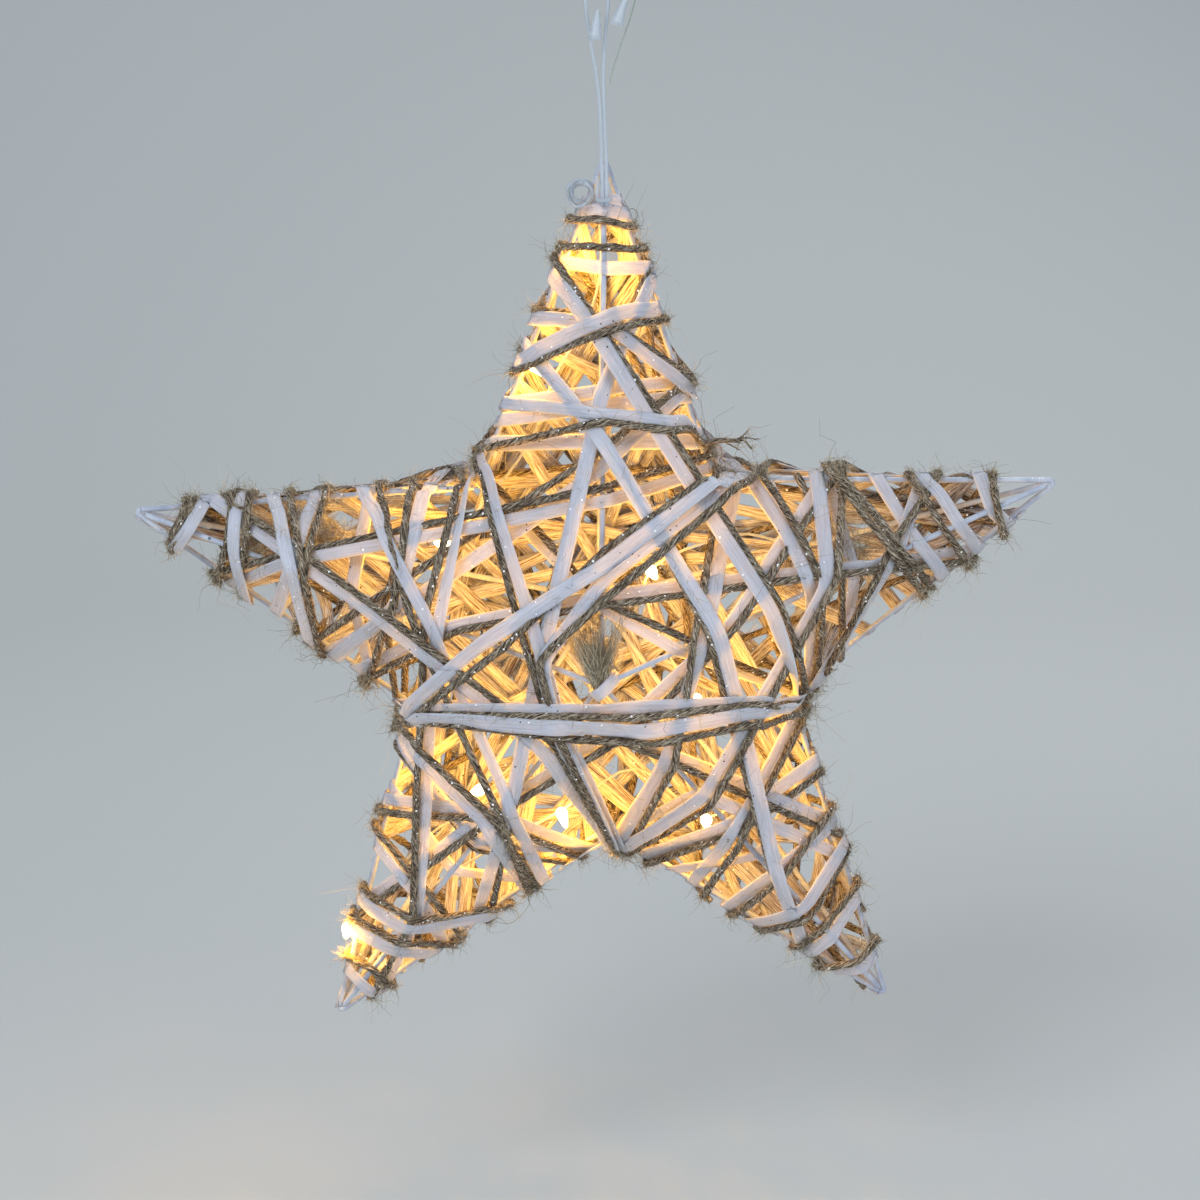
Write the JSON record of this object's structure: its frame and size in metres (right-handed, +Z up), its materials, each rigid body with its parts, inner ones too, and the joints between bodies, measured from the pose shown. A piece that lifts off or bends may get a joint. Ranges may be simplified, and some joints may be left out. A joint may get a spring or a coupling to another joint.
{
  "type": "hanging star light",
  "caption": "Hanging five-pointed star light: welded white wire frame wound with paper strip and jute twine over a string of small warm LED bulbs, on a clear lead with a hanging ring.",
  "frame": {"origin": "top of the hole of the hanging ring, where a hook holds the star", "axes": "+Z up, the star hangs below the origin in the XZ plane, its front faces -Y, +X to the right"},
  "size_m": [0.4028, 0.1498, 0.5028],
  "materials": {
    "painted_wire": "satin white paint",
    "wound_strip": "whitewashed fibrous paper strip with fine glitter",
    "jute_twine": "rough two-ply jute twine with fine glitter",
    "clear_plastic": "clear plastic",
    "lit_bulb": "clear cone cap over a lit warm LED",
    "nylon_thread": "clear nylon thread"
  },
  "bodies": {
    "root": {"top_arm_bent_side_wire": "painted_wire", "top_arm_straight_side_wire": "painted_wire", "top_arm_front_ridge_wire": "painted_wire", "top_arm_back_ridge_wire": "painted_wire", "top_arm_front_left_winding": "wound_strip", "top_arm_front_right_winding": "wound_strip", "top_arm_back_left_winding": "wound_strip", "top_arm_back_right_winding": "wound_strip", "right_arm_bent_side_wire": "painted_wire", "right_arm_straight_side_wire": "painted_wire", "right_arm_front_ridge_wire": "painted_wire", "right_arm_back_ridge_wire": "painted_wire", "right_arm_front_left_winding": "wound_strip", "right_arm_front_right_winding": "wound_strip", "right_arm_back_left_winding": "wound_strip", "right_arm_back_right_winding": "wound_strip", "lower_right_arm_bent_side_wire": "painted_wire", "lower_right_arm_straight_side_wire": "painted_wire", "lower_right_arm_front_ridge_wire": "painted_wire", "lower_right_arm_back_ridge_wire": "painted_wire", "lower_right_arm_front_left_winding": "wound_strip", "lower_right_arm_front_right_winding": "wound_strip", "lower_right_arm_back_left_winding": "wound_strip", "lower_right_arm_back_right_winding": "wound_strip", "lower_left_arm_bent_side_wire": "painted_wire", "lower_left_arm_straight_side_wire": "painted_wire", "lower_left_arm_front_ridge_wire": "painted_wire", "lower_left_arm_back_ridge_wire": "painted_wire", "lower_left_arm_front_left_winding": "wound_strip", "lower_left_arm_front_right_winding": "wound_strip", "lower_left_arm_back_left_winding": "wound_strip", "lower_left_arm_back_right_winding": "wound_strip", "left_arm_bent_side_wire": "painted_wire", "left_arm_straight_side_wire": "painted_wire", "left_arm_front_ridge_wire": "painted_wire", "left_arm_back_ridge_wire": "painted_wire", "left_arm_front_left_winding": "wound_strip", "left_arm_front_right_winding": "wound_strip", "left_arm_back_left_winding": "wound_strip", "left_arm_back_right_winding": "wound_strip", "twine_tail": "jute_twine", "led_string_wire": "clear_plastic", "led_bulb_1": "lit_bulb", "led_bulb_2": "lit_bulb", "led_bulb_3": "lit_bulb", "led_bulb_4": "lit_bulb", "led_bulb_5": "lit_bulb", "led_bulb_6": "lit_bulb", "led_bulb_7": "lit_bulb", "led_bulb_8": "lit_bulb", "led_bulb_9": "lit_bulb", "lead_wire_left": "clear_plastic", "lead_wire_right": "clear_plastic", "splice_cap_lower": "clear_plastic", "splice_cap_upper": "clear_plastic", "hanging_ring": "clear_plastic", "spare_wire_coil": "clear_plastic", "lead_cable_tie": "clear_plastic", "hanging_thread": "nylon_thread", "hanging_knot": "nylon_thread"}
  },
  "joints": []
}
